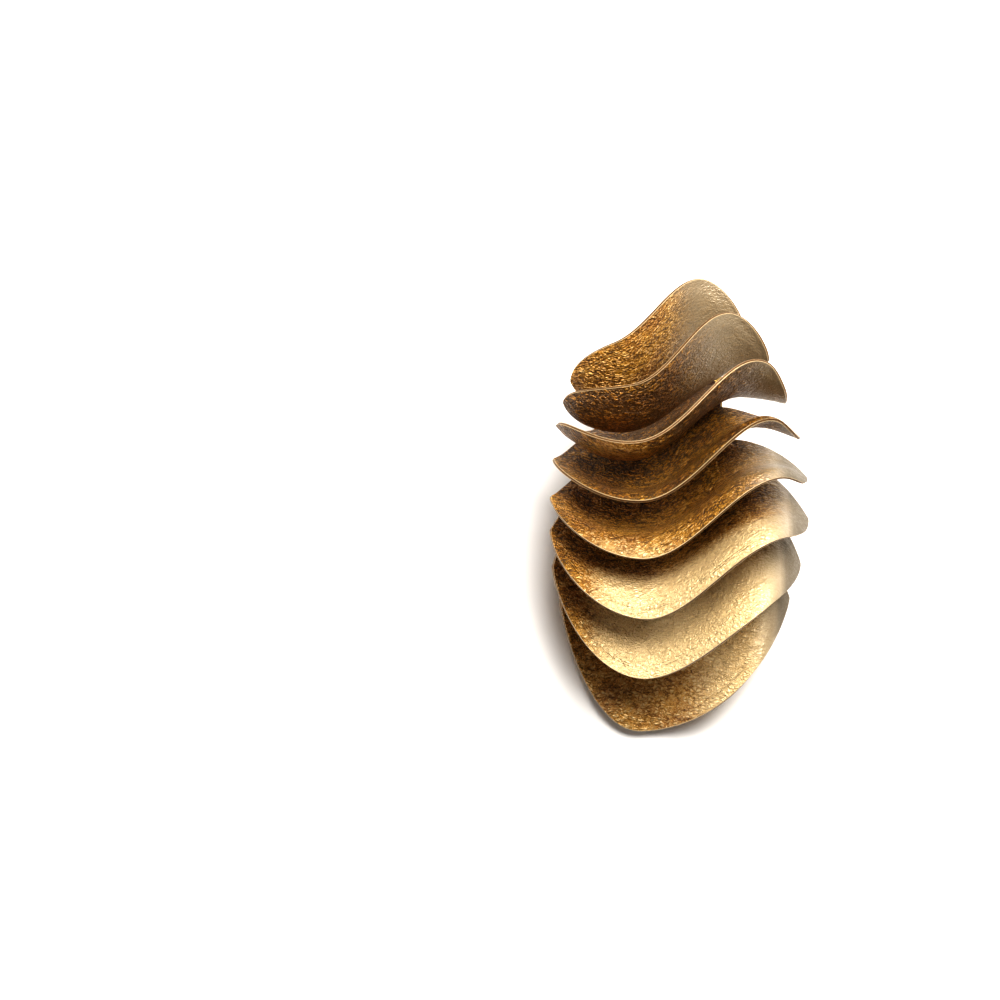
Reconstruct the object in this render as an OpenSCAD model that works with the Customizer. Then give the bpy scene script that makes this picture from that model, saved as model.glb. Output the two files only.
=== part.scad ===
// Clip-on earring: eight waved leather petals fanned over a leather backing and a metal ear clip.
// It lies on its back. +Z is the way that the petals point, +Y is the top of the earring as worn.

/* [Leather] */
// Thickness of the petal leather
leather = 1.0; // [0.8:0.1:1.2]
// Thickness that is left at the cut edge of a petal
edge = 0.7; // [0.4:0.1:0.8]
// How far the middle of the cut edge stands out beyond its corners
edge_round = 0.2; // [0:0.05:0.3]
// Thickness of the backing strap
strap = 1.5; // [1:0.1:1.8]

/* [Clip] */
// Thickness of the clip's metal
metal = 1.0; // [0.8:0.1:1.2]
// Open space for the ear lobe between the pad and the paddle
ear_gap = 5.0; // [4.5:0.1:5.5]
// Width of the pad and the paddle
clip_w = 11; // [8:0.5:12]
// Length of the straight part of the paddle, from the bend to its round end
clip_len = 13; // [10:0.5:14]

/* [Mesh] */
// Stations across a petal, from tip to tip
across = 28; // [16:2:30]
// Steps along a petal, from the back edge to the front edge
along = 12; // [8:2:12]

/* [Hidden] */
$fn = 64;

// Clearance between pieces that are glued or stitched together
seat = 0.2;
// How far a cutting shape reaches past what it cuts
over = 1;
// Heights of the stack: paddle, ear gap, pad, backing
pad_z = metal + ear_gap;
strap_z = pad_z + metal + seat;
seat_z = strap_z + strap;
// Middle of the clip across the earring, and where its bend meets the straight parts
clip_x = 1.6;
bend_y = 11.6;

// Level in the wave that stays on the line of the fan
wave_mid = 5;
// How close to its cut edge the leather keeps its full thickness, higher is closer
edge_run = 8;
// Reach of the outline below which the lip's curve gets no shorter, near the tips
least_reach = 0.05;
// Step of the differences that give a petal's slope, in stations and in millimetres
step_u = 0.002;
step_t = 0.05;

// Columns of OUTLINES. Stations run from 0 at the left tip to 1 at the right tip.
TILT = 0;         // angle from the floor, 90 points straight up
BACK = 1;         // length behind the widest line
FRONT = 2;        // length before the widest line
END_Y = 3;        // place of the back end
END_Z = 4;        // height of the back end above the backing
LEFT = 5;         // left tip
RIGHT = 6;        // right tip
PEAK = 7;         // station where the front edge reaches furthest
POWER = 8;        // how pointed the front edge is, 1 is an ellipse
BACK_PEAK = 9;    // station where the back edge reaches furthest
BACK_POWER = 10;  // how pointed the back edge is

// One row for each petal, from the lowest to the top one
OUTLINES = [
    [-0.5, 16.5, 20.5,  2.8, -0.8, -17.6, 17.3, 0.35, 1.48, 0.38, 1.6],
    [ 22, 17.0, 17.0,  7.8,  0.9, -18.8, 18.4, 0.38, 1.30, 0.38, 1.6],
    [ 42, 15.5, 15.5,  9.8,  1.6, -19.2, 19.2, 0.45, 1.05, 0.30, 1.9],
    [ 58, 13.5, 13.5, 11.0,  2.3, -19.2, 18.9, 0.50, 1.00, 0.30, 2.0],
    [ 69, 12.0, 12.0, 14.4,  1.4, -18.8, 18.0, 0.50, 1.00, 0.25, 1.9],
    [ 88, 12.0, 12.0, 15.9,  1.1, -18.3, 16.0, 0.50, 0.70, 0.50, 1.3],
    [120,  8.6,  8.6, 14.4,  6.4, -17.3, 13.4, 0.50, 1.00, 0.30, 1.4],
    [133,  9.3,  9.3, 16.6,  7.0, -16.3,  9.9, 0.50, 1.00, 0.38, 1.6]
];

// Columns of WAVES, which go on from those of OUTLINES
TROUGH = 11;       // station of the trough at the front end
TROUGH_LEAN = 12;  // how far the trough has moved to the left at the back end
CREST = 13;        // station of the crest at the front end
CREST_LEAN = 14;   // how far the crest has moved to the left at the back end
TIP_RISE = 15;     // left tip above the trough
CREST_RISE = 16;   // crest above the trough
DROOP = 17;        // right tip below the crest
CUP = 18;          // depth of the bowl along the length
FLARE = 19;        // how the front edge stands in the bowl: twice CUP goes on rising, 0 levels out,
                   // and less turns outwards like a lip
SHARE = 20;        // share of the wave that is left at the back end

// One row for each petal, in the same order
WAVES = [
    [0.38, 0.00, 0.85, 0.00, 6.5, 11.5, 4.5, 3.5, 0.0, 0.55],
    [0.36, 0.00, 0.86, 0.00, 7.0, 14.2, 5.8, 3.7, -3.0, 0.55],
    [0.35, 0.00, 0.87, 0.05, 7.0, 14.7, 4.7, 3.7, -5.6, 0.55],
    [0.35, 0.00, 0.91, 0.10, 6.7, 14.2, 3.2, 3.7, -8.4, 0.50],
    [0.35, 0.00, 0.94, 0.25, 6.6, 14.6, 3.2, 4.0, 0.0, 0.40],
    [0.34, 0.08, 0.95, 0.22, 7.0, 14.6, 2.6, 4.3, 8.6, 0.34],
    [0.33, 0.06, 0.86, 0.00, 3.5, 14.6, 2.3, 2.0, 4.0, 0.60],
    [0.24, 0.00, 0.81, 0.00, 1.0, 14.0, 1.8, 2.0, 4.0, 0.65]
];

// Columns of STRAP_LINE, the side view of the backing
TOP_Y = 0;    // a bend of the upper face
TOP_Z = 1;    // its height above the flat part
UNDER_Y = 2;  // the same bend of the lower face
UNDER_Z = 3;  // its height, in thicknesses below TOP_Z

// One row for each bend of the backing, from its lower end under petal 1 to its top end
STRAP_LINE = [
    [-2.0, -6.4, -1.6, 0.95],
    [ 2.8, -4.35, 3.3, 0.95],
    [ 6.6, -2.4,  7.3, 0.95],
    [ 9.3,  0.0,  9.8, 1.00],
    [23.6,  0.0, 23.6, 1.00]
];
// Middle and width of the backing's tail, middle and radius of its round pad, and the width
// of the bent sheet that both are cut from
tail_x = -5;
tail_w = 7;
strap_pad_x = -1;
strap_pad_r = 7.8;
strap_pad_y = 15.8;
sheet_w = 20;

// Reach of a rounded outline at station u: 0 at the tips, 1 at its peak
function reach(u, peak, power) =
    let (w = u < peak ? u / peak / 2 : 1 - (1 - u) / (1 - peak) / 2)
    pow(2 * sqrt(max(0, w * (1 - w))), power);

// Height of the wave of petal p at station u and length t: down from the left tip to the
// trough, up to the crest, and down again to the right tip
function wave(p, u, t) =
    let (behind = 1 - t / (p[BACK] + p[FRONT]),
         trough = p[TROUGH] - p[TROUGH_LEAN] * behind,
         crest = p[CREST] - p[CREST_LEAN] * behind,
         dip = max(0, 1 - u / trough),
         climb = min(1, max(0, (u - trough) / (crest - trough))),
         fall = max(0, (u - crest) / (1 - crest)))
    p[TIP_RISE] * dip * dip + p[CREST_RISE] * (1 - cos(180 * climb)) / 2 - p[DROOP] * fall * fall;

// Rise of petal p out of the bottom of its bowl at station u and length t from its back end:
// a parabola behind the widest line, and an S before it that ends in the lip
function bowl(p, u, t) =
    let (ahead = t - p[BACK],
         full = max(least_reach, reach(u, p[PEAK], p[POWER])),
         s = ahead / p[FRONT] / full)
    ahead < 0 ? p[CUP] * pow(ahead / p[BACK], 2)
              : pow(full * s, 2) * (p[CUP] * (3 - 2 * s) - p[FLARE] * (1 - s));

// Height of petal p above its own plane at station u and length t from its back end
function lift(p, u, t) =
    let (share = p[SHARE] + (1 - p[SHARE]) * t / (p[BACK] + p[FRONT]))
    (wave(p, u, t) - wave_mid) * share + bowl(p, u, t) - p[CUP];

// Vector of petal p: across, along and out of its plane, turned to its tilt
function turned(p, across, along, out) =
    [across,
     out * sin(p[TILT]) - along * cos(p[TILT]),
     out * cos(p[TILT]) + along * sin(p[TILT])];

// Point of petal p at station u and length t, moved h along the surface's normal
function skin(p, u, t, h) =
    let (width = p[RIGHT] - p[LEFT],
         slope_x = (lift(p, u + step_u, t) - lift(p, u - step_u, t)) / (2 * step_u * width),
         slope_t = (lift(p, u, t + step_t) - lift(p, u, t - step_t)) / (2 * step_t),
         size = sqrt(1 + slope_x * slope_x + slope_t * slope_t))
    [0, p[END_Y], seat_z + p[END_Z]]
        + turned(p, p[LEFT] + width * u, t, lift(p, u, t))
        + h / size * turned(p, -slope_x, -slope_t, 1);

// Station i across a petal, and row j along it, both closer together towards the outline
function station(i) = (1 - cos(180 * (i + 0.5) / across)) / 2;
function row(j) = sin(90 * (2 * j / along - 1));

// Point of petal p at station i and row j. The side is 1 for the upper face, -1 for the lower
// face and 0 for the middle of the cut edge, where the point moves outwards by edge_round.
function leather_point(p, i, j, side) =
    let (u = station(i),
         s = row(j),
         t = s > 0 ? s * p[FRONT] * reach(u, p[PEAK], p[POWER])
                   : s * p[BACK] * reach(u, p[BACK_PEAK], p[BACK_POWER]),
         near = max(abs(s), abs(2 * u - 1)),
         half = (leather - (leather - edge) * pow(near, edge_run)) / 2,
         out = side == 0 ? 1 + edge_round / p[BACK] : 1)
    skin(p, 0.5 + out * (u - 0.5), p[BACK] + out * t, side * half);

// Every station and row of a petal, and those round its outline
GRID = [for (i = [0:across - 1], j = [0:along]) [i, j]];
OUTLINE = concat([for (i = [0:across - 2]) [i, along]], [for (j = [along:-1:1]) [across - 1, j]],
                 [for (i = [across - 1:-1:1]) [i, 0]], [for (j = [0:along - 1]) [0, j]]);
// Number of a grid point in the list of points, before that of its face is added
function at(i, j) = i * (along + 1) + j;

// Triangles of the upper face. The lower face has the same ones, turned over.
UPPER = [for (i = [0:across - 2], j = [0:along - 1], side = [0, 1])
    side == 0 ? [at(i, j), at(i, j + 1), at(i + 1, j)] : [at(i + 1, j), at(i, j + 1), at(i + 1, j + 1)]];

// Triangles between two closed rows of points, given by their numbers
function band(a, b) =
    [for (k = [0:len(a) - 1], side = [0, 1])
        let (n = (k + 1) % len(a))
        side == 0 ? [a[k], b[k], a[n]] : [a[n], b[k], b[n]]];

module petal(number) {
    p = concat(OUTLINES[number - 1], WAVES[number - 1]);
    count = len(GRID);
    points = concat([for (g = GRID) leather_point(p, g[0], g[1], 1)],
                    [for (g = GRID) leather_point(p, g[0], g[1], -1)],
                    [for (g = OUTLINE) leather_point(p, g[0], g[1], 0)]);
    top_rim = [for (g = OUTLINE) at(g[0], g[1])];
    under_rim = [for (n = top_rim) n + count];
    middle_rim = [for (k = [0:len(OUTLINE) - 1]) 2 * count + k];
    faces = concat([for (f = UPPER) [f[2], f[1], f[0]]],
                   [for (f = UPPER) [f[0] + count, f[1] + count, f[2] + count]],
                   band(middle_rim, top_rim), band(under_rim, middle_rim));
    color("goldenrod") polyhedron(points = points, faces = faces, convexity = 8);
}

// Leather strap that the back ends of the petals are glued to, with a round pad over the clip
module backing() {
    upper = [for (r = STRAP_LINE) [r[TOP_Y], seat_z + r[TOP_Z]]];
    lower = [for (i = [len(STRAP_LINE) - 1:-1:0])
        let (r = STRAP_LINE[i]) [r[UNDER_Y], seat_z + r[TOP_Z] - strap * r[UNDER_Z]]];
    color("saddlebrown") intersection() {
        translate([strap_pad_x - sheet_w / 2, 0, 0])
            rotate([90, 0, 90])
                linear_extrude(sheet_w) polygon(concat(upper, lower));
        union() {
            translate([strap_pad_x, strap_pad_y, 0]) cylinder(r = strap_pad_r, h = 2 * seat_z);
            translate([tail_x - tail_w / 2, 0, 0]) cube([tail_w, strap_pad_y, 2 * seat_z]);
            translate([tail_x, 0, 0]) cylinder(d = tail_w, h = 2 * seat_z);
        }
    }
}

// Outline of a clip plate, straight from the bend to a round end
module clip_plate() {
    translate([clip_x, bend_y, 0]) linear_extrude(metal) {
        translate([-clip_w / 2, 0]) square([clip_w, clip_len - clip_w / 2]);
        translate([0, clip_len - clip_w / 2]) circle(d = clip_w);
    }
}

// Pad against the front of the ear lobe, paddle behind it, and the bend that joins them
module clip() {
    outer_r = ear_gap / 2 + metal;
    color("silver") union() {
        clip_plate();
        translate([0, 0, pad_z]) clip_plate();
        translate([clip_x - clip_w / 2, bend_y, outer_r]) rotate([0, 90, 0]) difference() {
            cylinder(r = outer_r, h = clip_w);
            translate([0, 0, -over]) cylinder(r = ear_gap / 2, h = clip_w + 2 * over);
            translate([-outer_r - over, 0, -over])
                cube([2 * (outer_r + over), outer_r + over, clip_w + 2 * over]);
        }
    }
}

for (number = [1:len(OUTLINES)])
    petal(number);
backing();
clip();
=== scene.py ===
# %% [markdown]
# # A clip-on earring with waved leather petals
# Eight petals of gold-finished leather fan out from a small leather backing. A plain metal clip sits
# behind it and holds the ear lobe. The imported CAD model gives every piece its place, so this lesson is
# about what CAD leaves out: soft edges, grain, creases, metallic colour with painted highlights, shade
# and reflections, and light.

# %% Load the CAD model as a fixed frame
import math

import bpy
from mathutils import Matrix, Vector, kdtree


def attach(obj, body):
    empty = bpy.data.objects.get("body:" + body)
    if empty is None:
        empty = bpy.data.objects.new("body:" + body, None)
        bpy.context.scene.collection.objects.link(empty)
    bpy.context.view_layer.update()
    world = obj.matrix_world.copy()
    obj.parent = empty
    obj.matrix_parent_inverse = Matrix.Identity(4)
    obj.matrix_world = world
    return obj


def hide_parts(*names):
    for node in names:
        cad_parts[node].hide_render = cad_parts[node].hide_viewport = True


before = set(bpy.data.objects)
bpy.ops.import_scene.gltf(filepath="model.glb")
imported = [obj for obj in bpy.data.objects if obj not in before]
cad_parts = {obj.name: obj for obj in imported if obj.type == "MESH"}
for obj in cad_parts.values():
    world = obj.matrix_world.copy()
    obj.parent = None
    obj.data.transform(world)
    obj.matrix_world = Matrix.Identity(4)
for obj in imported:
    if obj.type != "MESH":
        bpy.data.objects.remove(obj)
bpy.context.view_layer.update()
MM = 0.001
PETALS = sorted(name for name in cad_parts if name.startswith("petal_"))
print("petals:", PETALS)

# %% [markdown]
# ## The camera
# The earring lies on its back on a white surface, and the camera looks straight down from above. A long
# lens keeps the petals' outlines almost as they are. The camera stands a little to the left of the
# earring, because the earring fills only the right-hand half of the picture.

# %% Camera
LENS_MM, SENSOR_MM = 168, 36
CAMERA_PLACE = Vector((-26.75, 1.3, 718)) * MM
NEAREST_M, FURTHEST_M = 0.01, 10

camera_data = bpy.data.cameras.new("camera")
camera_data.lens, camera_data.sensor_width = LENS_MM, SENSOR_MM
camera_data.clip_start, camera_data.clip_end = NEAREST_M, FURTHEST_M
camera = bpy.data.objects.new("camera", camera_data)
camera.location = CAMERA_PLACE
bpy.context.scene.collection.objects.link(camera)
bpy.context.scene.camera = camera
print("camera height in mm:", round(CAMERA_PLACE.z / MM))

# %% [markdown]
# ## The light
# A light shines along its own -Z, so each one is turned towards the middle of the earring. A large soft
# light stands high at the upper right, as the dark pockets at the lower left tell. Two weak, low ones
# help it: the one at the right reaches the tips of the petals, and the one at the left opens the shadows
# on the paper.

# %% Lights
MIDDLE = Vector((0, 0, 15)) * MM
LIGHTS = [
    # name, place in mm, width and height in mm, watts, colour
    ("key_light", (98, 248, 546), (290, 290), 7.35, (1.0, 0.98, 0.95)),
    ("side_light", (340, 270, 190), (260, 200), 0.12, (1.0, 0.97, 0.95)),
    ("left_light", (-560, 160, 150), (260, 200), 0.7, (1.0, 0.98, 0.96)),
]

for name, place, (width, height), watts, colour in LIGHTS:
    data = bpy.data.lights.new(name, "AREA")
    data.shape, data.size, data.size_y = "RECTANGLE", width * MM, height * MM
    data.energy, data.color = watts, colour
    light = bpy.data.objects.new(name, data)
    light.location = Vector(place) * MM
    light.rotation_euler = (MIDDLE - light.location).to_track_quat("-Z", "Y").to_euler()
    bpy.context.scene.collection.objects.link(light)
    print(name, "at", round((light.location - MIDDLE).length / MM), "mm")

# %% [markdown]
# A weak white world stands for the light that comes back from the room. The Standard view keeps colours
# as bright and clear as a product photo, and its high contrast look deepens the pockets between the
# petals and lets their lips go to cream.

# %% World and look
ROOM_LIGHT = 0.11

world = bpy.data.worlds.new("studio")
world.use_nodes = True
background = world.node_tree.nodes["Background"].inputs
background["Color"].default_value = (1, 1, 1, 1)
background["Strength"].default_value = ROOM_LIGHT
bpy.context.scene.world = world
view = bpy.context.scene.view_settings
view.view_transform, view.look = "Standard", "High Contrast"
print("room light:", ROOM_LIGHT, "- look:", view.look)

# %% [markdown]
# ## Small helpers for materials
# Colours are written as the sRGB hex values that a colour picker shows, and Blender's sockets want
# linear light, so one function turns them. Another adds a node with its settings and its links. The
# third starts a material, and gives back its nodes and the shader that they end in. Soft patches of two
# colours come from noise, whose values lie mostly between the two given here.

# %% Material helpers
NOISE_LOW, NOISE_HIGH = 0.35, 0.65


def linear(hex_colour):
    """An sRGB hex colour as linear light, with alpha 1."""
    channels = [int(hex_colour[i:i + 2], 16) / 255 for i in (0, 2, 4)]
    return [c / 12.92 if c <= 0.04045 else ((c + 0.055) / 1.055) ** 2.4 for c in channels] + [1]


def add(node_tree, kind, inputs=None, **settings):
    """Add a node, give it its settings, and fill or link its inputs."""
    node = node_tree.nodes.new(kind)
    for name, value in settings.items():
        setattr(node, name, value)
    for name, value in (inputs or {}).items():
        if isinstance(value, bpy.types.NodeSocket):
            node_tree.links.new(value, node.inputs[name])
        else:
            node.inputs[name].default_value = value
    return node


def new_material(name):
    """A new material, its nodes, and the shader that they end in."""
    material = bpy.data.materials.new(name)
    material.use_nodes = True
    return material, material.node_tree, material.node_tree.nodes["Principled BSDF"]


print("a dark brown in linear light:", [round(c, 3) for c in linear("38230a")[:3]])

# %% [markdown]
# ## Gold-finished leather: the grain
# The real one is thin cow leather with a metallic foil pressed on: it shines like brass, but the grain
# breaks the shine up, and dark leather shows in the creases. The grain is a net of small domes, half a
# millimetre wide and nearly twice as long across the petal. A painted picture of it would blur close up,
# so it is made from textures: a Voronoi texture that measures the distance to the nearest cell wall
# gives the domes, a slow noise bends its coordinates so that no wall is straight, and stretched noise
# adds wrinkles. All of it follows the petal's own map, which is in millimetres.

# %% Grain of the foil leather
CELL_MM, WRINKLE_MM = 0.5, 0.8
BEND_MM, BENT_BY_MM = 0.8, 0.9      # width of the bends in the cell walls, and how far they shift
STRETCH = 0.55                      # below 1, cells and wrinkles are drawn out across the petal
WALL_SLOPE = 0.32                   # how far from its wall, in cells, a dome has its full height
DOME_SHARE = 0.36                   # height of a dome beside that of the wrinkles

foil_leather, nodes, shader = new_material("foil_leather_embossed")
leaf_map = add(nodes, "ShaderNodeTexCoord").outputs["UV"]
drawn = add(nodes, "ShaderNodeMapping", {"Vector": leaf_map, "Scale": (STRETCH, 1.0, 1.0)}).outputs[0]
wobble = add(nodes, "ShaderNodeTexNoise", {"Vector": leaf_map, "Scale": 1 / BEND_MM, "Detail": 2.0})
bent = add(nodes, "ShaderNodeVectorMath",
           {0: wobble.outputs["Color"], 1: (BENT_BY_MM, BENT_BY_MM, BENT_BY_MM), 2: drawn},
           operation="MULTIPLY_ADD").outputs[0]
cells = add(nodes, "ShaderNodeTexVoronoi", {"Vector": bent, "Scale": 1 / CELL_MM},
            feature="DISTANCE_TO_EDGE")
domes = add(nodes, "ShaderNodeMapRange",
            {"Value": cells.outputs["Distance"], "From Min": 0.0, "From Max": WALL_SLOPE},
            interpolation_type="SMOOTHSTEP").outputs[0]
wrinkles = add(nodes, "ShaderNodeTexNoise", {"Vector": drawn, "Scale": 1 / WRINKLE_MM, "Detail": 4.0,
                                             "Roughness": 0.6, "Distortion": 0.6})
relief = add(nodes, "ShaderNodeMath", {0: domes, 1: DOME_SHARE, 2: wrinkles.outputs["Fac"]},
             operation="MULTIPLY_ADD").outputs[0]
print("grain: domes of", CELL_MM, "mm, wrinkles of", WRINKLE_MM, "mm")

# %% [markdown]
# ## Gold-finished leather: the colour
# The foil is amber gold in soft patches, and the leather in the creases is dark brown. It isn't the same
# everywhere: two attributes of the mesh, set further down, paint light and shade into this colour. The
# first is a painted highlight on the lips where it is above 0 and painted shade where it is below 0.
# Painted shade sinks the foil deeper into brown. The painted highlight makes the creases lighter, but
# only up to a limit, so that the net stays visible on the palest lips. The second is a painted
# reflection, beige, on the right-hand tips.

# %% Gold and creases
PATCH_MM = 6.0
CREASE_FILL, FILL_LIMIT = 0.4, 0.3   # how far the painted highlight fills the creases, and where that ends
CREASE_TOP, CREASE_BOTTOM = 0.74, 0.42   # relief where a crease starts, and where it is darkest
CREASE_DARK = 0.85                   # how brown it is there

place = add(nodes, "ShaderNodeTexCoord").outputs["Object"]
# painted highlight on the lips where above 0, painted shade where below 0
painted_light_and_shade = add(nodes, "ShaderNodeAttribute", attribute_name="painted_light_and_shade").outputs["Fac"]
# painted reflection: beige on the right-hand tips
painted_reflection = add(nodes, "ShaderNodeAttribute", attribute_name="painted_reflection").outputs["Fac"]
patches = add(nodes, "ShaderNodeTexNoise",
              {"Vector": place, "Scale": 1 / (PATCH_MM * MM), "Detail": 3.0, "Roughness": 0.55})
gold = add(nodes, "ShaderNodeValToRGB", {"Fac": patches.outputs["Fac"]})
gold_ends = gold.color_ramp.elements
gold_ends[0].position, gold_ends[0].color = NOISE_LOW, linear("a87018")
gold_ends[1].position, gold_ends[1].color = NOISE_HIGH, linear("c8912c")
# the painted highlight lightens the creases up to a limit, and painted shade darkens them
limited = add(nodes, "ShaderNodeMath", {0: painted_light_and_shade, 1: FILL_LIMIT}, operation="MINIMUM").outputs[0]
filled = add(nodes, "ShaderNodeMath", {0: limited, 1: CREASE_FILL, 2: relief},
             operation="MULTIPLY_ADD").outputs[0]
sunk = add(nodes, "ShaderNodeMapRange", {"Value": filled, "From Min": CREASE_TOP,
                                         "From Max": CREASE_BOTTOM, "To Max": CREASE_DARK})
creased = add(nodes, "ShaderNodeMixRGB",
              {"Fac": sunk.outputs[0], "Color1": gold.outputs[0], "Color2": linear("38230a")})
print("gold in patches of", PATCH_MM, "mm")

# %% [markdown]
# The painted highlight takes the tops of the domes first, so the relief decides where the pale cream
# starts. The painted reflection on the tips is beige, and where it is strongest a darker taupe.

# %% Painted highlight and painted reflection on the foil
TOP_GAIN, TOP_LEVEL = 1.5, -0.98     # the relief counts this much, less what the hollows hold back
HIGHLIGHT_FROM = 0.1                     # painted highlight at which the foil starts to turn to pale cream
REFLECTION_DIM_FROM = 0.9                      # painted reflection from which the beige turns to taupe and the finish fades

tops = add(nodes, "ShaderNodeMath", {0: relief, 1: TOP_GAIN, 2: TOP_LEVEL},
           operation="MULTIPLY_ADD").outputs[0]
# painted highlight: pale cream, on the tops of the domes first
highlight_level = add(nodes, "ShaderNodeMath", {0: painted_light_and_shade, 1: tops}, operation="ADD").outputs[0]
highlight_share = add(nodes, "ShaderNodeMapRange", {"Value": highlight_level, "From Min": HIGHLIGHT_FROM, "From Max": 1.0})
painted_highlight = add(nodes, "ShaderNodeMixRGB",
            {"Fac": highlight_share.outputs[0], "Color1": creased.outputs[0], "Color2": linear("e0c592")})
# painted reflection: beige on the tips, a darker taupe where it is strongest
reflection_tone = add(nodes, "ShaderNodeValToRGB", {"Fac": painted_reflection})
reflection_ends = reflection_tone.color_ramp.elements
reflection_ends[0].position, reflection_ends[0].color = REFLECTION_DIM_FROM, linear("94846a")
reflection_ends[1].position, reflection_ends[1].color = 1.0, linear("6c604c")
with_reflection = add(nodes, "ShaderNodeMixRGB",
           {"Fac": painted_reflection, "Color1": painted_highlight.outputs[0], "Color2": reflection_tone.outputs[0]})
nodes.links.new(with_reflection.outputs[0], shader.inputs["Base Color"])
print("foil leather so far:", len(nodes.nodes), "nodes")

# %% [markdown]
# ## Gold-finished leather: the shine
# To the eye the foil is about two thirds metal, and less where the highlight and the reflection are
# painted. It lies under a clear finish, which shows more there and is nearly gone where the painted
# reflection is strongest. The creases are rougher than the domes. The finish is soft, so highlights
# spread wide over the waves.

# %% Shine of the foil
METAL_FRESH, METAL_LIT = 0.65, 0.35
FINISH_FRESH, FINISH_LIT, FINISH_UNDER_REFLECTION = 0.45, 1.0, 0.2    # the last is a share of what the others give
ROUGH_TOP, ROUGH_CREASE = 0.42, 0.62

smooth = add(nodes, "ShaderNodeMath", {0: painted_light_and_shade, 1: painted_reflection}, operation="MAXIMUM").outputs[0]
metallic = add(nodes, "ShaderNodeMapRange",
               {"Value": smooth, "To Min": METAL_FRESH, "To Max": METAL_LIT})
finish = add(nodes, "ShaderNodeMapRange",
             {"Value": smooth, "To Min": FINISH_FRESH, "To Max": FINISH_LIT})
remaining = add(nodes, "ShaderNodeMapRange", {"Value": painted_reflection, "From Min": REFLECTION_DIM_FROM, "From Max": 1.0,
                                              "To Min": 1.0, "To Max": FINISH_UNDER_REFLECTION})
coat = add(nodes, "ShaderNodeMath", {0: finish.outputs[0], 1: remaining.outputs[0]},
           operation="MULTIPLY")
rough = add(nodes, "ShaderNodeMapRange", {"Value": relief, "From Min": 0.85, "From Max": 0.5,
                                          "To Min": ROUGH_TOP, "To Max": ROUGH_CREASE})
nodes.links.new(metallic.outputs[0], shader.inputs["Metallic"])
nodes.links.new(coat.outputs[0], shader.inputs["Coat Weight"])
nodes.links.new(rough.outputs[0], shader.inputs["Roughness"])
shader.inputs["Coat IOR"].default_value = 1.6
shader.inputs["Coat Roughness"].default_value = 0.42
print("foil: metallic", METAL_FRESH, "to", METAL_LIT, "- roughness", ROUGH_TOP, "to", ROUGH_CREASE)

# %% [markdown]
# ## Gold-finished leather: the relief
# Two pressed lines follow the cut edge here and there, as the cutting tool leaves them. They could be
# cut into the mesh, but they are no wider than its faces. A third attribute of the mesh, `from_rim`, is
# the distance to that edge in millimetres, and a colour ramp over its first four millimetres holds the
# lines' section. They show in some of the patches, and not where the reflection is painted on the tips.

# %% Pressed lines
RAMP_MM = 4
LINES_START, LINES_END = 1.12, 1.92                 # distances from the edge in mm
LINES = ((1.32, 0.1), (1.48, 1.0), (1.68, 0.3))     # distance from the edge in mm, height
LINES_FAINT, LINES_FULL = 0.42, 0.55                # brightness of the patches that they show in

from_rim = add(nodes, "ShaderNodeAttribute", attribute_name="from_rim").outputs["Fac"]
along_ramp = add(nodes, "ShaderNodeMath", {0: from_rim, 1: 1 / RAMP_MM}, operation="MULTIPLY").outputs[0]
lines = add(nodes, "ShaderNodeValToRGB", {"Fac": along_ramp})
line_ends = lines.color_ramp.elements
line_ends[0].position, line_ends[0].color = LINES_START / RAMP_MM, (1, 1, 1, 1)
line_ends[1].position, line_ends[1].color = LINES_END / RAMP_MM, (1, 1, 1, 1)
for distance, height in LINES:
    line_ends.new(distance / RAMP_MM).color = (height, height, height, 1)
clear = add(nodes, "ShaderNodeMath", {0: patches.outputs["Fac"], 1: painted_reflection}, operation="SUBTRACT")
kept = add(nodes, "ShaderNodeMapRange",
           {"Value": clear.outputs[0], "From Min": LINES_FAINT, "From Max": LINES_FULL})
print("pressed lines at", [distance for distance, height in LINES if height < 1], "mm from the edge")

# %% [markdown]
# Three bumps then lie on each other: the grain, the pressed lines, and fine specks that make the foil
# glitter. Where the highlight is painted the grain is a little flatter, and where the reflection is
# painted the leather is almost smooth. The foil's real specks are finer than the picture can show, so
# they are drawn about as wide as one of its pixels.

# %% Bumps of the foil leather
GRAIN_HEIGHT_MM, LINE_HEIGHT_MM, SPECK_HEIGHT_MM = 0.65, 0.15, 0.08
SPECK_MM = 0.16
HIGHLIGHT_GRAIN = 0.75                  # share of the grain left under the full painted highlight
REFLECTION_GRAIN = -0.8                  # what the full painted reflection takes from that share

grain_under_highlight = add(nodes, "ShaderNodeMapRange", {"Value": painted_light_and_shade, "To Min": 1.0, "To Max": HIGHLIGHT_GRAIN})
flattened = add(nodes, "ShaderNodeMath", {0: painted_reflection, 1: REFLECTION_GRAIN, 2: grain_under_highlight.outputs[0]},
                operation="MULTIPLY_ADD")
specks = add(nodes, "ShaderNodeTexNoise", {"Vector": place, "Scale": 1 / (SPECK_MM * MM), "Detail": 1.0})
grain = add(nodes, "ShaderNodeBump", {"Height": relief, "Strength": flattened.outputs[0],
                                      "Distance": GRAIN_HEIGHT_MM * MM})
embossed = add(nodes, "ShaderNodeBump", {"Height": lines.outputs[0], "Strength": kept.outputs[0],
                                         "Distance": LINE_HEIGHT_MM * MM, "Normal": grain.outputs[0]})
speckled = add(nodes, "ShaderNodeBump", {"Height": specks.outputs["Fac"], "Strength": 0.6,
                                         "Distance": SPECK_HEIGHT_MM * MM,
                                         "Normal": embossed.outputs[0]})
nodes.links.new(speckled.outputs[0], shader.inputs["Normal"])
nodes.links.new(speckled.outputs[0], shader.inputs["Coat Normal"])
print("bumps in mm:", GRAIN_HEIGHT_MM, LINE_HEIGHT_MM, SPECK_HEIGHT_MM)

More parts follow.
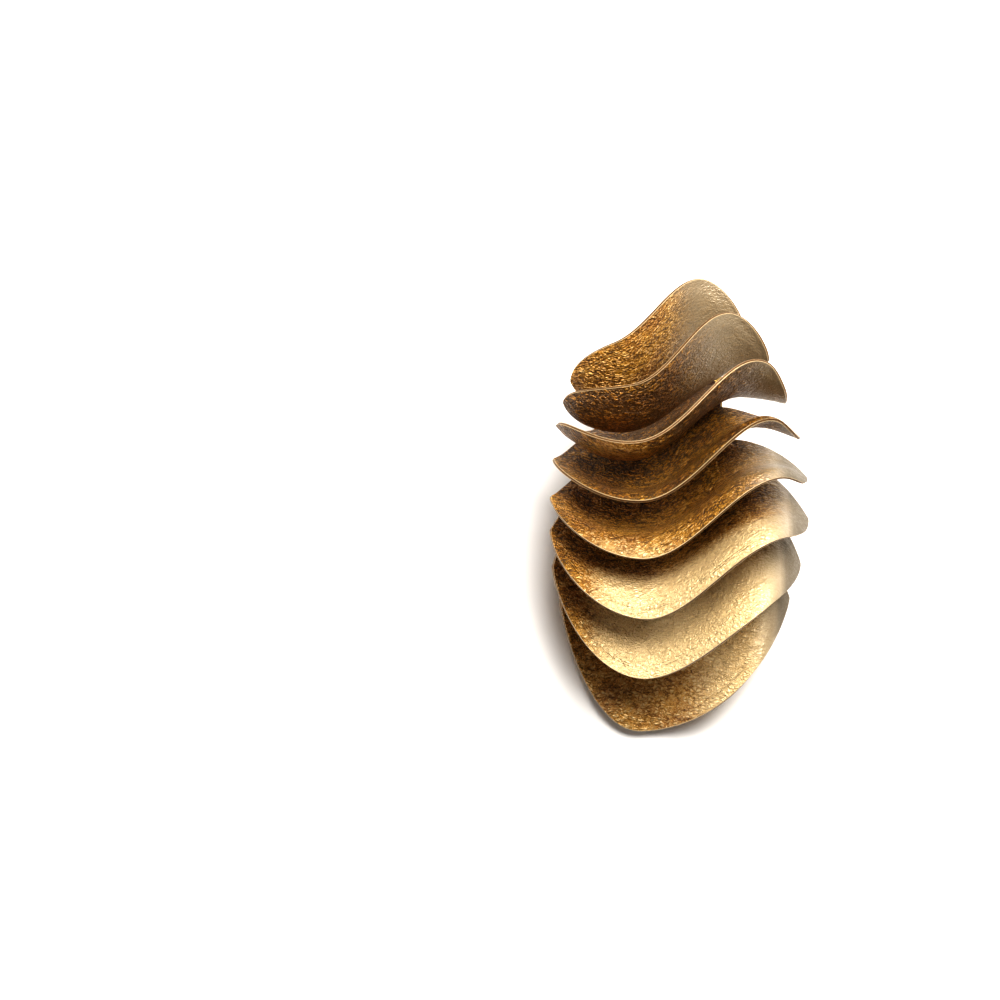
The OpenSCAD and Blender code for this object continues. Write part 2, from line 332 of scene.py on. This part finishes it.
# %% [markdown]
# ## The cut edge
# A petal is cut out with a die, so its edge shows the brown core of the leather between two bright
# lines, where the foil of each face wraps over the corner; the lines are also a painted highlight, as
# bright as the corners look where they catch the light. The attribute `through_leather` is the distance
# from the middle of the thickness, so the lines follow the edge all the way around. Real fibres are
# finer
# than the picture can show, so they are drawn 0.3 mm wide. The surface is half-matt and partly metallic:
# the corners catch the light and the core stays quiet.

# %% Cut edge of the leather
FIBRE_MM, FUZZ_HEIGHT_MM = 0.3, 0.08
WRAP_START_MM, WRAP_FULL_MM = 0.1, 0.2   # distances from the middle of the leather

cut_edge, nodes, shader = new_material("vegetable_tanned_leather_cut")
place = add(nodes, "ShaderNodeTexCoord").outputs["Object"]
through = add(nodes, "ShaderNodeAttribute", attribute_name="through_leather").outputs["Fac"]
fibres = add(nodes, "ShaderNodeTexNoise", {"Vector": place, "Scale": 1 / (FIBRE_MM * MM), "Detail": 3.0})
core = add(nodes, "ShaderNodeValToRGB", {"Fac": fibres.outputs["Fac"]})
core_ends = core.color_ramp.elements
core_ends[0].position, core_ends[0].color = NOISE_LOW, linear("4a3018")
core_ends[1].position, core_ends[1].color = NOISE_HIGH, linear("6e4c28")
side = add(nodes, "ShaderNodeMath", {0: through}, operation="ABSOLUTE")
corner = add(nodes, "ShaderNodeMapRange",
             {"Value": side.outputs[0], "From Min": WRAP_START_MM, "From Max": WRAP_FULL_MM})
# foil wrapped over the corners, with a painted highlight where they catch the light
foil_and_highlight = add(nodes, "ShaderNodeMixRGB",
              {"Fac": corner.outputs[0], "Color1": core.outputs[0], "Color2": linear("cbb48c")})
fuzz = add(nodes, "ShaderNodeBump", {"Height": fibres.outputs["Fac"], "Strength": 0.5,
                                     "Distance": FUZZ_HEIGHT_MM * MM})
nodes.links.new(foil_and_highlight.outputs[0], shader.inputs["Base Color"])
nodes.links.new(fuzz.outputs[0], shader.inputs["Normal"])
shader.inputs["Roughness"].default_value = 0.5
shader.inputs["Metallic"].default_value = 0.4
print("cut edge: core with fibres of", FIBRE_MM, "mm")

# %% [markdown]
# ## The backing's leather and the clip's metal
# The backing is plain brown leather: pebbles of 0.8 mm, soft patches where the dye took differently, and
# a matt finish at leather's usual IOR, which gives a wide, weak highlight.

# %% Brown leather
PEBBLE_MM, DYE_PATCH_MM, PEBBLE_HEIGHT_MM = 0.8, 4.0, 0.1

backing_leather, nodes, shader = new_material("brown_leather_pebbled")
place = add(nodes, "ShaderNodeTexCoord").outputs["Object"]
pebbles = add(nodes, "ShaderNodeTexVoronoi", {"Vector": place, "Scale": 1 / (PEBBLE_MM * MM)},
              feature="DISTANCE_TO_EDGE")
stains = add(nodes, "ShaderNodeTexNoise",
             {"Vector": place, "Scale": 1 / (DYE_PATCH_MM * MM), "Detail": 3.0})
dye = add(nodes, "ShaderNodeValToRGB", {"Fac": stains.outputs["Fac"]})
dye_ends = dye.color_ramp.elements
dye_ends[0].position, dye_ends[0].color = NOISE_LOW, linear("4a3220")
dye_ends[1].position, dye_ends[1].color = NOISE_HIGH, linear("6b4a30")
pebbled = add(nodes, "ShaderNodeBump", {"Height": pebbles.outputs["Distance"], "Strength": 0.6,
                                        "Distance": PEBBLE_HEIGHT_MM * MM})
nodes.links.new(dye.outputs[0], shader.inputs["Base Color"])
nodes.links.new(pebbled.outputs[0], shader.inputs["Normal"])
shader.inputs["IOR"].default_value = 1.5
shader.inputs["Roughness"].default_value = 0.55
print("brown leather: pebbles of", PEBBLE_MM, "mm")

# %% [markdown]
# The clip is bent from a strip of brass with a gold-coloured plating. It is rolled along its length, and
# the rolling leaves faint lines, so the noise that varies its gloss is stretched along the strip. It is
# full metal of a pale gold, with clear but slightly soft reflections.

# %% Plated brass
ROLL_LINE_MM = 0.25
ROLL_STRETCH = 0.08                  # below 1, the lines are drawn out along the strip
GLOSS = (0.18, 0.32)                 # roughness from the brightest to the dullest line

clip_metal, nodes, shader = new_material("plated_brass_rolled")
place = add(nodes, "ShaderNodeTexCoord").outputs["Object"]
rolled = add(nodes, "ShaderNodeMapping",
             {"Vector": place, "Scale": (1.0, ROLL_STRETCH, ROLL_STRETCH)}).outputs[0]
roll_lines = add(nodes, "ShaderNodeTexNoise",
                 {"Vector": rolled, "Scale": 1 / (ROLL_LINE_MM * MM), "Detail": 3.0})
gloss = add(nodes, "ShaderNodeMapRange", {"Value": roll_lines.outputs["Fac"], "From Min": 0.3,
                                          "From Max": 0.7, "To Min": GLOSS[0], "To Max": GLOSS[1]})
nodes.links.new(gloss.outputs[0], shader.inputs["Roughness"])
shader.inputs["Base Color"].default_value = linear("d8b878")
shader.inputs["Metallic"].default_value = 1.0
print("clip: roughness", GLOSS[0], "to", GLOSS[1])

# %% [markdown]
# ## The shape of a petal
# Each petal is one cut piece of leather, 1 mm thick, shaped like a leaf and pressed into an S-shaped
# wave with a shallow bowl. It could be drawn as a curve and filled, but then the wave would have to be
# sculpted. A grid whose points are set from the petal's own few measures is exact and stays even, and it
# also gives the leather a map in real millimetres. The measures are those of the CAD model, in
# millimetres and degrees. Stations run from 0 at the left tip to 1 at the right tip.

# %% Measures of the petals
# tilt: angle from the floor. back, front: lengths behind and before the widest line. end_y, end_z: place
# of the back end, above the backing. left, right: the tips. peak, power: where the front edge reaches
# furthest, and how pointed it is. back_peak, back_power: the same of the back edge. trough, crest:
# stations of the wave, and how far each leans towards the left at the back end. tip_rise, crest_rise:
# heights of the left tip and of the crest above the trough. droop: fall from the crest to the right tip.
# cup: depth of the bowl. flare: slope of the bowl at its lip, which turns outwards if it is less than 0.
# share: how much of the wave is left at the back end.
COLUMNS = ("tilt", "back", "front", "end_y", "end_z", "left", "right", "peak", "power", "back_peak",
           "back_power", "trough", "trough_lean", "crest", "crest_lean", "tip_rise", "crest_rise",
           "droop", "cup", "flare", "share")
SHAPES = [
    (-0.5, 16.5, 20.5, 2.8, -0.8, -17.6, 17.3, 0.35, 1.48, 0.38, 1.6,
     0.38, 0.00, 0.85, 0.00, 6.5, 11.5, 4.5, 3.5, 0, 0.55),
    (22, 17.0, 17.0, 7.8, 0.9, -18.8, 18.4, 0.38, 1.30, 0.38, 1.6,
     0.36, 0.00, 0.86, 0.00, 7.0, 14.2, 5.8, 3.7, -3, 0.55),
    (42, 15.5, 15.5, 9.8, 1.6, -19.2, 19.2, 0.45, 1.05, 0.30, 1.9,
     0.35, 0.00, 0.87, 0.05, 7.0, 14.7, 4.7, 3.7, -5.6, 0.55),
    (58, 13.5, 13.5, 11.0, 2.3, -19.2, 18.9, 0.50, 1.00, 0.30, 2.0,
     0.35, 0.00, 0.91, 0.10, 6.7, 14.2, 3.2, 3.7, -8.4, 0.50),
    (69, 12.0, 12.0, 14.4, 1.4, -18.8, 18.0, 0.50, 1.00, 0.25, 1.9,
     0.35, 0.00, 0.94, 0.25, 6.6, 14.6, 3.2, 4.0, 0, 0.40),
    (88, 12.0, 12.0, 15.9, 1.1, -18.3, 16.0, 0.50, 0.70, 0.50, 1.3,
     0.34, 0.08, 0.95, 0.22, 7.0, 14.6, 2.6, 4.3, 8.6, 0.34),
    (120, 8.6, 8.6, 14.4, 6.4, -17.3, 13.4, 0.50, 1.00, 0.30, 1.4,
     0.33, 0.06, 0.86, 0.00, 3.5, 14.6, 2.3, 2.0, 4, 0.60),
    (133, 9.3, 9.3, 16.6, 7.0, -16.3, 9.9, 0.50, 1.00, 0.38, 1.6,
     0.24, 0.00, 0.81, 0.00, 1.0, 14.0, 1.8, 2.0, 4, 0.65),
]


class Shape:
    """One row of SHAPES, with the columns as names."""
    def __init__(self, row):
        for name, value in zip(COLUMNS, row):
            setattr(self, name, value)


print("petals with measures:", len(SHAPES))

# %% [markdown]
# The outline comes from `reach`: a circle's arc, moved to its peak and raised to a power that makes it
# more pointed or rounder. The wave and the bowl come from `lift`: a parabola up to the left tip, half a
# cosine from the trough to the crest, a parabola down to the right tip, and the bowl's walls behind and
# before the widest line.

# %% Outline and wave
WAVE_MID = 5        # level in the wave that stays on the line of the fan
LEAST_REACH = 0.05  # reach below which the lip's curve gets no shorter, near the tips


def reach(u, peak, power):
    """How far the outline reaches at station u: 0 at the tips, 1 at its peak."""
    w = u / peak / 2 if u < peak else 1 - (1 - u) / (1 - peak) / 2
    return (2 * math.sqrt(max(0, w * (1 - w)))) ** power


def lift(p, u, t):
    """Height above the petal's own plane at station u and length t from its back end."""
    behind = 1 - t / (p.back + p.front)
    trough, crest = p.trough - p.trough_lean * behind, p.crest - p.crest_lean * behind
    dip = max(0, 1 - u / trough)
    climb = min(1, max(0, (u - trough) / (crest - trough)))
    fall = max(0, (u - crest) / (1 - crest))
    wave = (p.tip_rise * dip ** 2 + p.crest_rise * (1 - math.cos(math.pi * climb)) / 2
            - p.droop * fall ** 2)
    if t < p.back:
        bowl = p.cup * (t / p.back - 1) ** 2
    else:
        r = max(LEAST_REACH, reach(u, p.peak, p.power))
        s = (t - p.back) / (p.front * r)
        bowl = (r * s) ** 2 * (p.cup * (3 - 2 * s) - p.flare * (1 - s))
    return (wave - WAVE_MID) * (1 - (1 - p.share) * behind) + bowl - p.cup


first = Shape(SHAPES[0])
print("reach of petal 1 at its middle:", round(reach(0.5, first.peak, first.power), 2))

# %% [markdown]
# A point of the petal is then found in two steps: along and across in the petal's own plane, and from
# there into the earring by the petal's tilt.

# %% A point on a petal
SEAT_Z = 8.7        # height of the backing's upper face


def petal_point(p, u, s):
    """Middle of the leather at station u (0 to 1) and row s (-1 at the back edge, 1 at the front)."""
    t = p.back + (s * p.front * reach(u, p.peak, p.power) if s > 0
                  else s * p.back * reach(u, p.back_peak, p.back_power))
    out, tilt = lift(p, u, t), math.radians(p.tilt)
    return Vector((p.left + (p.right - p.left) * u,
                   p.end_y + out * math.sin(tilt) - t * math.cos(tilt),
                   SEAT_Z + p.end_z + out * math.cos(tilt) + t * math.sin(tilt))) * MM


for node, row in zip(PETALS, SHAPES):
    print(node, "lip at", [round(c / MM, 1) for c in petal_point(Shape(row), 0.5, 1)])

# %% [markdown]
# ## Painted light and shade on each petal
# A painted highlight makes the foil pale along the lips of the lower petals, and a painted reflection
# makes the right-hand tips beige. The upper petals get less of the painted highlight, and painted shade
# makes their left-hand sides darker. It could be painted by hand, but a row of numbers for each petal is
# easier to match to the real one: where the painted light starts and ends, and how strong it is.

# %% Painted light and shade
PAINTED_LIGHT_ROWS = [
    # how strong the painted highlight is all over (painted shade if negative), how strong at the lip,
    # between which stations and from which row, then how strong the painted reflection on the tip is,
    # from which station to which
    (0.36, 0.60, 0.62, 0.98, -1.5, 1.0, 0.78, 0.96),
    (0.15, 1.00, 0.16, 1.10, -0.3, 1.0, 0.76, 0.94),
    (0.00, 1.00, 0.16, 1.10, 0.20, 1.0, 0.76, 0.94),
    (-0.05, 0.65, 0.14, 0.50, 0.60, 1.0, 0.66, 0.92),
    (-0.30, 0.00, 0.20, 0.80, 0.50, 0.8, 0.84, 0.98),
    (-0.60, 0.70, 0.12, 0.42, -0.2, 0.9, 0.72, 0.92),
    (-0.50, 0.00, 0.20, 0.80, 0.50, 0.9, 0.48, 0.76),
    (0.10, 0.00, 0.20, 0.80, 0.50, 0.9, 0.45, 0.72),
]
LIP_END, LIP_RISE = 0.1, 0.45        # softness of the painted highlight on the lip, in stations and in rows


def fade(value, start, end):
    """0 before start, 1 past end, and a soft climb in between."""
    w = min(1, max(0, (value - start) / (end - start)))
    return w * w * (3 - 2 * w)


def painted_light_at(light_row, u, s):
    """The painted highlight (painted shade if below 0) and the painted reflection at station u and row
    s.
    """
    all_over, lip, u_from, u_to, s_from, tip, tip_from, tip_to = light_row
    along_lip = (fade(u, u_from - LIP_END, u_from + LIP_END)
                 * (1 - fade(u, u_to - LIP_END, u_to + LIP_END)))
    return (all_over + lip * along_lip * fade(s, s_from, s_from + LIP_RISE),
            tip * fade(u, tip_from, tip_to))


for node, light_row in zip(PETALS, PAINTED_LIGHT_ROWS):
    print(node, "rubbed and dulled at its lip:", [round(w, 2) for w in painted_light_at(light_row, 0.5, 1)])

# %% [markdown]
# ## Hands
# These helpers do what a hand would do in the viewport: pick one object, add a modifier and apply it,
# paint weights on its points, and write a number on each point for the materials to read.

# %% Helpers for shaping
def only(obj):
    """Select this object and nothing else."""
    bpy.ops.object.select_all(action="DESELECT")
    obj.select_set(True)
    bpy.context.view_layer.objects.active = obj


def modify(obj, kind, **settings):
    """Add a modifier with these settings and apply it."""
    only(obj)
    bpy.ops.object.modifier_add(type=kind)
    modifier = obj.modifiers[-1]
    for name, value in settings.items():
        setattr(modifier, name, value)
    bpy.ops.object.modifier_apply(modifier=modifier.name)


def weigh(obj, name, weights):
    """Give each point its weight in a new vertex group."""
    group = obj.vertex_groups.new(name=name)
    for i, w in enumerate(weights):
        group.add([i], w, "REPLACE")


def write_on(obj, name, numbers):
    """Give each point a number that a material reads as the attribute of this name."""
    obj.data.attributes.new(name, "FLOAT", "POINT").data.foreach_set("value", numbers)


print("helpers:", [helper.__name__ for helper in (only, modify, weigh, write_on)])

# %% [markdown]
# ## A petal, step by step
# First a grid is laid on the middle of the leather. Its stations are closer set near the tips, and its
# rows near the edges, where the curve is sharp. The painted light and shade is written on its points
# now, because the modifiers carry it along to the finished mesh.

# %% Lay the leaf
ACROSS, ALONG = 48, 30
CROWDING = 0.25                      # how much closer than even the rows lie at the edges


def lay_leaf(name, p, light_row):
    """A grid on the petal's surface, and the number of the point in each column and row."""
    bpy.ops.object.select_all(action="DESELECT")
    bpy.ops.mesh.primitive_grid_add(x_subdivisions=ACROSS, y_subdivisions=ALONG, size=2)
    leaf = bpy.context.object
    leaf.name = name
    leaf.data.materials.append(foil_leather)
    leaf.data.materials.append(cut_edge)
    numbers, painted_by = {}, []
    for v in leaf.data.vertices:
        i, j = round((v.co.x + 1) / 2 * ACROSS), round((v.co.y + 1) / 2 * ALONG)
        u = (1 - math.cos(math.pi * (i + 0.5) / (ACROSS + 1))) / 2
        y = 2 * j / ALONG - 1
        s = y * (1 + CROWDING - CROWDING * y * y)
        v.co = petal_point(p, u, s)
        numbers[i, j] = v.index
        painted_by.append(painted_light_at(light_row, u, s))
    # painted highlight and shade, and the painted reflection on the tips, as numbers on the points
    write_on(leaf, "painted_light_and_shade", [pale for pale, beige in painted_by])
    write_on(leaf, "painted_reflection", [beige for pale, beige in painted_by])
    return leaf, numbers


print("points of a leaf:", (ACROSS + 1) * (ALONG + 1))

# %% [markdown]
# The grain needs a map that isn't stretched, so each point's place on it is measured on the leather
# itself: across along the widest row, and from there forwards and back along each column.

# %% Map in millimetres
MIDDLE_ROW = ALONG // 2


def map_leaf(leaf, numbers):
    """Set the leaf's UV map to real millimetres, and return its width."""
    mesh = leaf.data

    def gap(here, there):
        return (mesh.vertices[numbers[here]].co - mesh.vertices[numbers[there]].co).length / MM

    map_u, map_v = {0: 0.0}, {}
    for i in range(1, ACROSS + 1):
        map_u[i] = map_u[i - 1] + gap((i, MIDDLE_ROW), (i - 1, MIDDLE_ROW))
    for i in range(ACROSS + 1):
        map_v[i, MIDDLE_ROW] = 0.0
        for j in range(MIDDLE_ROW + 1, ALONG + 1):
            map_v[i, j] = map_v[i, j - 1] + gap((i, j), (i, j - 1))
        for j in range(MIDDLE_ROW - 1, -1, -1):
            map_v[i, j] = map_v[i, j + 1] - gap((i, j), (i, j + 1))
    spot = {number: (map_u[i], map_v[i, j]) for (i, j), number in numbers.items()}
    for loop, uv in zip(mesh.loops, mesh.uv_layers[0].data):
        uv.uv = spot[loop.vertex_index]
    return map_u[ACROSS]


print("the map starts from row", MIDDLE_ROW, "of", ALONG)

# %% [markdown]
# Solidify gives the leaf the leather's thickness, less at the cut edge, where a die squeezes it. The
# edge could be a curve with a profile, but then face and edge would be two meshes with a seam. The
# outline's points are kept as they were, because the materials need the middle of the leather later.

# %% Thickness
LEATHER_MM = 1.0
EDGE_THICKNESS = 0.42                # share of the thickness that is left at the cut edge
SQUEEZED_MM = 2.0                    # how far in from the edge the leather is thinner


def tree_of(mesh, numbers):
    """These points of a mesh, ready to be searched for the nearest one."""
    tree = kdtree.KDTree(len(numbers))
    for number in numbers:
        tree.insert(mesh.vertices[number].co, number)
    tree.balance()
    return tree


def thicken(leaf, numbers):
    """Give the leaf its thickness, and return its outline: a search tree, and places with normals."""
    mesh = leaf.data
    outline = [n for (i, j), n in numbers.items() if i in (0, ACROSS) or j in (0, ALONG)]
    tree = tree_of(mesh, outline)
    middles = {n: (mesh.vertices[n].co.copy(), mesh.vertices[n].normal.copy()) for n in outline}
    inward = [min(1, tree.find(v.co)[2] / MM / SQUEEZED_MM) for v in mesh.vertices]
    weigh(leaf, "thickness", [EDGE_THICKNESS + (1 - EDGE_THICKNESS) * share for share in inward])
    modify(leaf, "SOLIDIFY", thickness=LEATHER_MM * MM, offset=0, vertex_group="thickness",
           material_offset_rim=1, use_even_offset=False)
    return tree, middles


print("leather:", LEATHER_MM, "mm, at the cut edge", LEATHER_MM * EDGE_THICKNESS, "mm")

# %% [markdown]
# A small bevel keeps the corners of the cut edge crisp, and Subdivision rounds the rest. The corners are
# the edges between a face of one material and a face of the other, so they are found by that.

# %% Cut edge
CORNER_MM = 0.14


def trim_edge(leaf):
    """Bevel the corners between the faces and the cut edge, then round everything."""
    mesh = leaf.data
    sides = {}
    for face in mesh.polygons:
        for key in face.edge_keys:
            sides.setdefault(key, set()).add(face.material_index)
    weight = mesh.attributes.new("bevel_weight_edge", "FLOAT", "EDGE")
    for edge in mesh.edges:
        weight.data[edge.index].value = 1.0 if len(sides[edge.key]) == 2 else 0.0
    modify(leaf, "BEVEL", width=CORNER_MM * MM, segments=1, limit_method="WEIGHT", material=1)
    modify(leaf, "SUBSURF", levels=2, render_levels=2)
    bpy.ops.object.shade_smooth()


print("corners of the cut edge:", CORNER_MM, "mm")

# %% [markdown]
# On the finished mesh, two more numbers are written for the materials: how far each point is from the
# cut edge, and how far from the middle of the leather. A slow displacement then takes away the look of a
# pressed sheet. It fades out towards the edge, and nothing may sink into the floor.

# %% Measures and swell
SWELL_MM, SWELL_WIDTH_MM = 0.25, 5
FLOOR_CLEARANCE_MM = 0.02

swell = bpy.data.textures.new("swell", "CLOUDS")
swell.noise_scale, swell.noise_depth = SWELL_WIDTH_MM * MM, 1


def measure_leather(leaf, tree, middles):
    """Write down the distances from the cut edge and from the middle, and return the first."""
    mesh = leaf.data
    rim = sorted({v for face in mesh.polygons if face.material_index == 1 for v in face.vertices})
    rim_tree = tree_of(mesh, rim)
    away = [rim_tree.find(v.co)[2] / MM for v in mesh.vertices]
    write_on(leaf, "from_rim", away)
    through_leather = []
    for v in mesh.vertices:
        middle, normal = middles[tree.find(v.co)[1]]
        through_leather.append((v.co - middle).dot(normal) / MM)
    write_on(leaf, "through_leather", through_leather)
    return away


def swell_out(leaf, away):
    """Displace the leather a little, but not at its edge, and keep it off the floor."""
    weigh(leaf, "inner", [min(1, d) for d in away])
    modify(leaf, "DISPLACE", strength=SWELL_MM * MM, mid_level=0.5, vertex_group="inner",
           texture=swell, texture_coords="LOCAL")
    for v in leaf.data.vertices:
        v.co.z = max(v.co.z, FLOOR_CLEARANCE_MM * MM)


print("swell of up to", SWELL_MM / 2, "mm each way")

# %% [markdown]
# Now each petal goes through these steps, and takes the place of its CAD solid.

# %% The eight petals
for node, row, light_row in zip(PETALS, SHAPES, PAINTED_LIGHT_ROWS):
    petal, numbers = lay_leaf(node + "_leather", Shape(row), light_row)
    flat_width = map_leaf(petal, numbers)
    tree, middles = thicken(petal, numbers)
    trim_edge(petal)
    swell_out(petal, measure_leather(petal, tree, middles))
    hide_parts(node)
    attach(petal, "root")
    print(petal.name, "size", [round(d / MM, 1) for d in petal.dimensions],
          "flat width", round(flat_width, 1),
          "triangles", sum(len(face.vertices) - 2 for face in petal.data.polygons))

# %% [markdown]
# ## The backing and the clip
# The backing is a strap with a round pad, cut from thicker leather, that the back ends of the petals are
# glued to. The clip is one bent strip of metal that holds the ear lobe between its pad and its paddle.
# Both are plain and mostly out of sight. Their CAD shapes could be modelled again from boxes and
# cylinders, but they are already exact, so each is a copy whose loose triangles are merged, whose flat
# faces are joined, and whose corners get a small bevel.

# %% Backing and clip
MERGED_MM = 0.001
FLAT, CORNER, SMOOTH = math.radians(1), math.radians(35), math.radians(40)
HIDDEN_PIECES = [
    # CAD node, name of the piece, material slot, material, bevel in mm
    ("backing", "backing_leather", "brown_leather", backing_leather, 0.2),
    ("clip", "clip_metal", "clip_metal", clip_metal, 0.12),
]


def softened(node, name, material, radius):
    """A merged copy of a CAD piece with its corners bevelled to this radius in mm."""
    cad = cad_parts[node]
    mesh = cad.data.copy()
    mesh.transform(cad.matrix_world)
    mesh.materials.clear()
    mesh.materials.append(material)
    piece = bpy.data.objects.new(name, mesh)
    bpy.context.scene.collection.objects.link(piece)
    only(piece)
    bpy.ops.object.mode_set(mode="EDIT")
    bpy.ops.mesh.select_all(action="SELECT")
    bpy.ops.mesh.remove_doubles(threshold=MERGED_MM * MM)
    bpy.ops.mesh.dissolve_limited(angle_limit=FLAT)
    bpy.ops.object.mode_set(mode="OBJECT")
    modify(piece, "BEVEL", width=radius * MM, segments=2, limit_method="ANGLE", angle_limit=CORNER)
    bpy.ops.object.shade_smooth_by_angle(angle=SMOOTH)
    return piece


for node, name, slot, material, radius in HIDDEN_PIECES:
    piece = softened(node, name, material, radius)
    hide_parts(node)
    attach(piece, "root")
    print(name, "faces", len(piece.data.polygons))

# %% [markdown]
# ## The floor
# A sheet of white paper, much larger than the picture, so its edges never show. It is matt, because a
# sheen would draw the light's shape on it.

# %% Floor
FLOOR_M = 4

bpy.ops.object.select_all(action="DESELECT")
bpy.ops.mesh.primitive_plane_add(size=FLOOR_M)
floor = bpy.context.object
floor.name = "floor"
paper, nodes, shader = new_material("white_paper_matt")
shader.inputs["Base Color"].default_value = linear("f0eeec")
shader.inputs["Roughness"].default_value = 0.9
floor.data.materials.append(paper)
print("floor in m:", [round(d, 2) for d in floor.dimensions])
